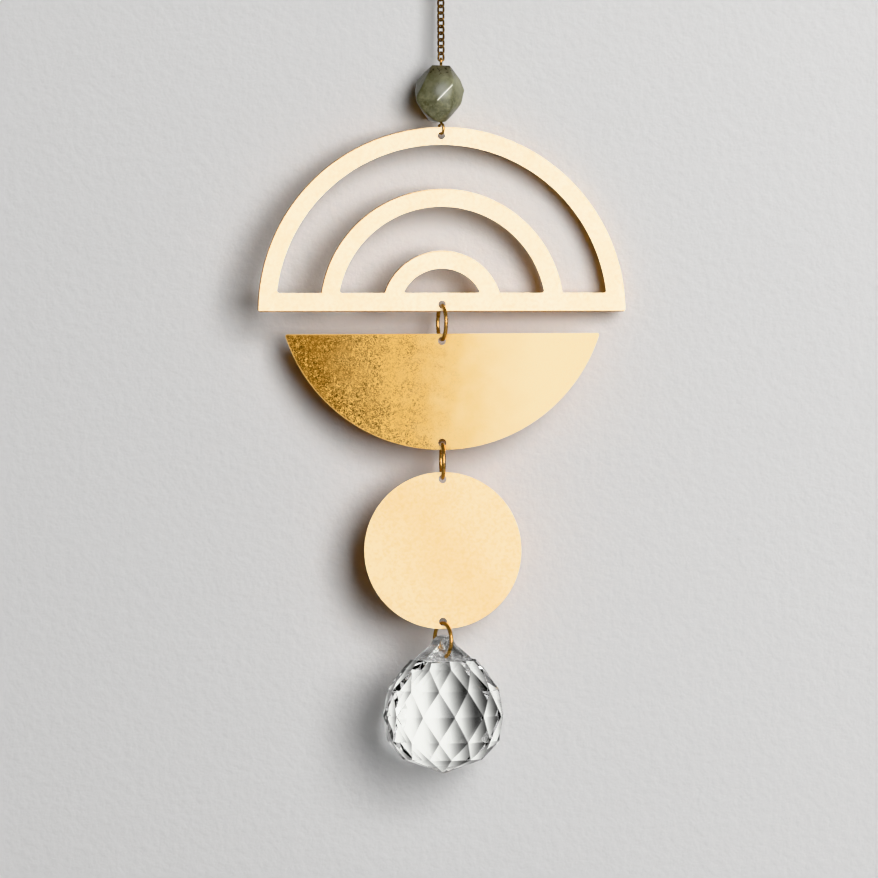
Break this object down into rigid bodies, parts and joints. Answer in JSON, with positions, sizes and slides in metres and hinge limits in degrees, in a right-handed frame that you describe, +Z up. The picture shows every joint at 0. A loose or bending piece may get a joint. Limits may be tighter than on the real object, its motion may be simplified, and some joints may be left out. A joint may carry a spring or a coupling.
{
  "type": "hanging suncatcher",
  "caption": "Hanging suncatcher: a stone bead, arch, half-moon and round brass plates and a faceted glass ball in one line on a fine chain.",
  "frame": {"origin": "inside top of the hanging ring, where the nail or hook that holds the suncatcher up bears", "axes": "+Z up along the hanging line, +X to the right along the plates' width, -Y out of the plates' front faces"},
  "size_m": [0.0936, 0.0306, 0.2076],
  "materials": {
    "pale_brass": "satin, pale, finely brushed",
    "gold_brass": "satin, warmer, lightly tarnished in places",
    "wire_brass": "bright drawn wire",
    "stone": "grey-green mottled, slightly translucent, ground and softly polished",
    "crystal": "clear, polished facets"
  },
  "bodies": {
    "root": {"hanging_ring": "wire_brass", "chain_link_01": "wire_brass", "chain_link_02": "wire_brass", "chain_link_03": "wire_brass", "chain_link_04": "wire_brass", "chain_link_05": "wire_brass", "chain_link_06": "wire_brass", "chain_link_07": "wire_brass", "chain_link_08": "wire_brass", "chain_link_09": "wire_brass", "chain_link_10": "wire_brass", "chain_link_11": "wire_brass", "bead_pin": "wire_brass", "stone_bead": "stone", "arch_plate": "pale_brass", "upper_ring": "wire_brass", "half_moon_plate": "gold_brass", "middle_ring": "wire_brass", "round_plate": "gold_brass", "lower_ring": "wire_brass", "crystal_ball": "crystal"}
  },
  "joints": []
}
